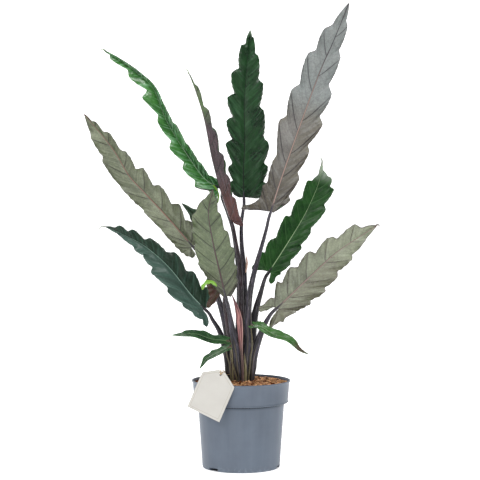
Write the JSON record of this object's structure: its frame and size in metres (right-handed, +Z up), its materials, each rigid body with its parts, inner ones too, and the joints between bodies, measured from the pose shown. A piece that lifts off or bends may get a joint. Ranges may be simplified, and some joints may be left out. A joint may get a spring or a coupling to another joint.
{
  "type": "potted alocasia lauterbachiana",
  "caption": "Clump of narrow arrow-shaped leaves with toothed, waved margins on dark stalks, in a round nursery pot filled with bark mulch, with a blank card label on twine.",
  "frame": {"origin": "middle of the pot's flat underside, on the floor", "axes": "+Z up along the pot's axis, -Y toward the front of the picture, +X to its right"},
  "size_m": [0.5927, 0.2671, 0.9672],
  "materials": {
    "leaf_01_far_left_blade": "soft gloss",
    "leaf_01_far_left_stalk": "satin",
    "leaf_02_upper_left_blade": "soft gloss",
    "leaf_02_upper_left_stalk": "satin",
    "leaf_03_rolled_blade": "soft gloss",
    "leaf_03_rolled_stalk": "satin",
    "leaf_04_upper_middle_blade": "soft gloss",
    "leaf_04_upper_middle_stalk": "satin",
    "leaf_05_upper_right_blade": "soft gloss",
    "leaf_05_upper_right_stalk": "satin",
    "leaf_06_right_blade": "soft gloss",
    "leaf_06_right_stalk": "satin",
    "leaf_07_lower_right_blade": "soft gloss",
    "leaf_07_lower_right_stalk": "satin",
    "leaf_08_front_left_blade": "soft gloss",
    "leaf_08_front_left_stalk": "satin",
    "leaf_09_behind_left_blade": "soft gloss",
    "leaf_09_behind_left_stalk": "satin",
    "leaf_10_lower_left_blade": "soft gloss",
    "leaf_10_lower_left_stalk": "satin",
    "young_leaf_11_pale_blade": "soft gloss",
    "young_leaf_11_pale_stalk": "satin",
    "young_leaf_12_lowest_blade": "soft gloss",
    "young_leaf_12_lowest_stalk": "satin",
    "young_leaf_13_right_blade": "soft gloss",
    "young_leaf_13_right_stalk": "satin",
    "new_leaf_sheath": "matt papery",
    "new_shoot": "satin",
    "nursery_pot": "satin",
    "bark_mulch": "rough",
    "card_label": "matt",
    "label_twine": "rough"
  },
  "bodies": {
    "root": {"leaf_01_far_left_blade": "leaf_01_far_left_blade", "leaf_01_far_left_stalk": "leaf_01_far_left_stalk", "leaf_02_upper_left_blade": "leaf_02_upper_left_blade", "leaf_02_upper_left_stalk": "leaf_02_upper_left_stalk", "leaf_03_rolled_blade": "leaf_03_rolled_blade", "leaf_03_rolled_stalk": "leaf_03_rolled_stalk", "leaf_04_upper_middle_blade": "leaf_04_upper_middle_blade", "leaf_04_upper_middle_stalk": "leaf_04_upper_middle_stalk", "leaf_05_upper_right_blade": "leaf_05_upper_right_blade", "leaf_05_upper_right_stalk": "leaf_05_upper_right_stalk", "leaf_06_right_blade": "leaf_06_right_blade", "leaf_06_right_stalk": "leaf_06_right_stalk", "leaf_07_lower_right_blade": "leaf_07_lower_right_blade", "leaf_07_lower_right_stalk": "leaf_07_lower_right_stalk", "leaf_08_front_left_blade": "leaf_08_front_left_blade", "leaf_08_front_left_stalk": "leaf_08_front_left_stalk", "leaf_09_behind_left_blade": "leaf_09_behind_left_blade", "leaf_09_behind_left_stalk": "leaf_09_behind_left_stalk", "leaf_10_lower_left_blade": "leaf_10_lower_left_blade", "leaf_10_lower_left_stalk": "leaf_10_lower_left_stalk", "young_leaf_11_pale_blade": "young_leaf_11_pale_blade", "young_leaf_11_pale_stalk": "young_leaf_11_pale_stalk", "young_leaf_12_lowest_blade": "young_leaf_12_lowest_blade", "young_leaf_12_lowest_stalk": "young_leaf_12_lowest_stalk", "young_leaf_13_right_blade": "young_leaf_13_right_blade", "young_leaf_13_right_stalk": "young_leaf_13_right_stalk", "new_leaf_sheath": "new_leaf_sheath", "new_shoot": "new_shoot", "nursery_pot": "nursery_pot", "bark_mulch": "bark_mulch", "card_label": "card_label", "label_twine": "label_twine"}
  },
  "joints": []
}
